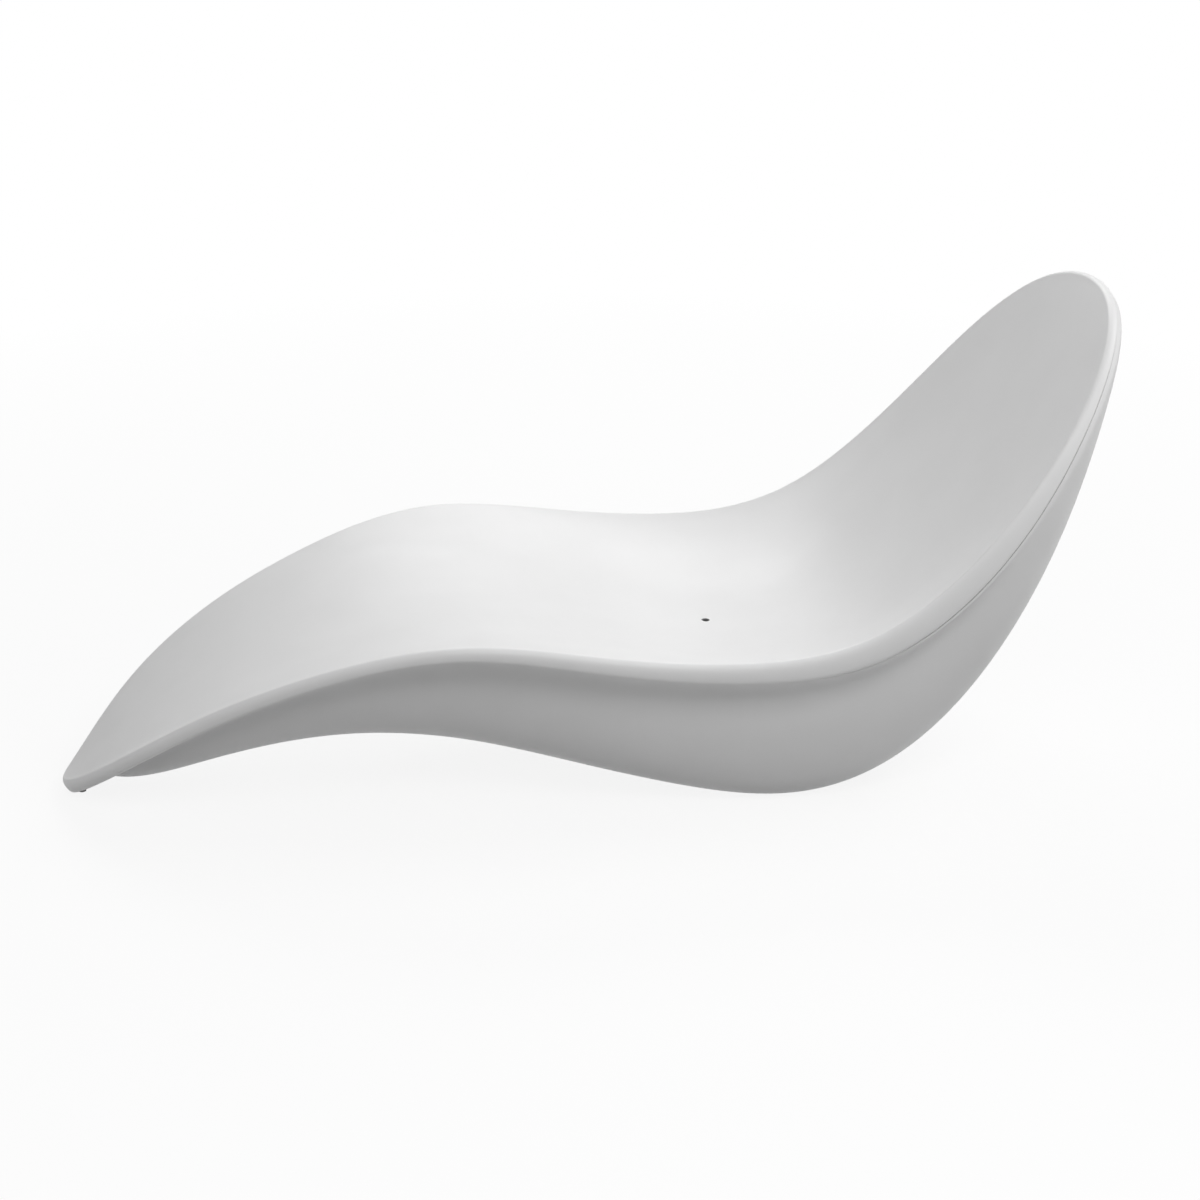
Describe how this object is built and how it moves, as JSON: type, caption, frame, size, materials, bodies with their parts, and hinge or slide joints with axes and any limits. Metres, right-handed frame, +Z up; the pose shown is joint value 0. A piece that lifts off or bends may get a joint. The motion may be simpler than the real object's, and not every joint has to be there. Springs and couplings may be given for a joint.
{
  "type": "spa relaxation lounger",
  "caption": "Free-standing wave-shaped spa lounger: a dished white seat shell with a rolled rim on a smooth hull, raised back and tapering foot.",
  "frame": {"origin": "middle of the bounding box, on the floor", "axes": "+X from the foot to the head, +Z up, +Y to the sitter's right"},
  "size_m": [1.8746, 0.747, 0.8687],
  "materials": {
    "seat_gelcoat": "satin white",
    "hull_gelcoat": "satin white",
    "bead_sealant": "matt grey",
    "birch_ply": "bare birch",
    "pad_rubber": "matt black",
    "screw_steel": "plain",
    "insert_brass": "plain",
    "gasket_rubber": "matt black",
    "drain_plastic": "satin",
    "pipe_rubber": "matt",
    "clip_steel": "plain"
  },
  "bodies": {
    "root": {"seat_shell": "seat_gelcoat", "hull_shell": "hull_gelcoat", "joint_bead": "bead_sealant", "shin_former": "birch_ply", "calf_former": "birch_ply", "knee_former": "birch_ply", "thigh_former": "birch_ply", "seat_former": "birch_ply", "hip_former": "birch_ply", "lumbar_former": "birch_ply", "back_former": "birch_ply", "head_former": "birch_ply", "stringer_left": "birch_ply", "stringer_right": "birch_ply", "base_plate": "birch_ply", "base_pads": "pad_rubber", "pad_screws": "screw_steel", "pad_inserts": "insert_brass", "toe_glide": "pad_rubber", "drain_gasket": "gasket_rubber", "drain_spigot": "drain_plastic", "drain_pipe": "pipe_rubber", "pipe_clips": "clip_steel", "outlet_fitting": "drain_plastic", "outlet_gasket": "gasket_rubber", "outlet_nut": "drain_plastic"}
  },
  "joints": []
}
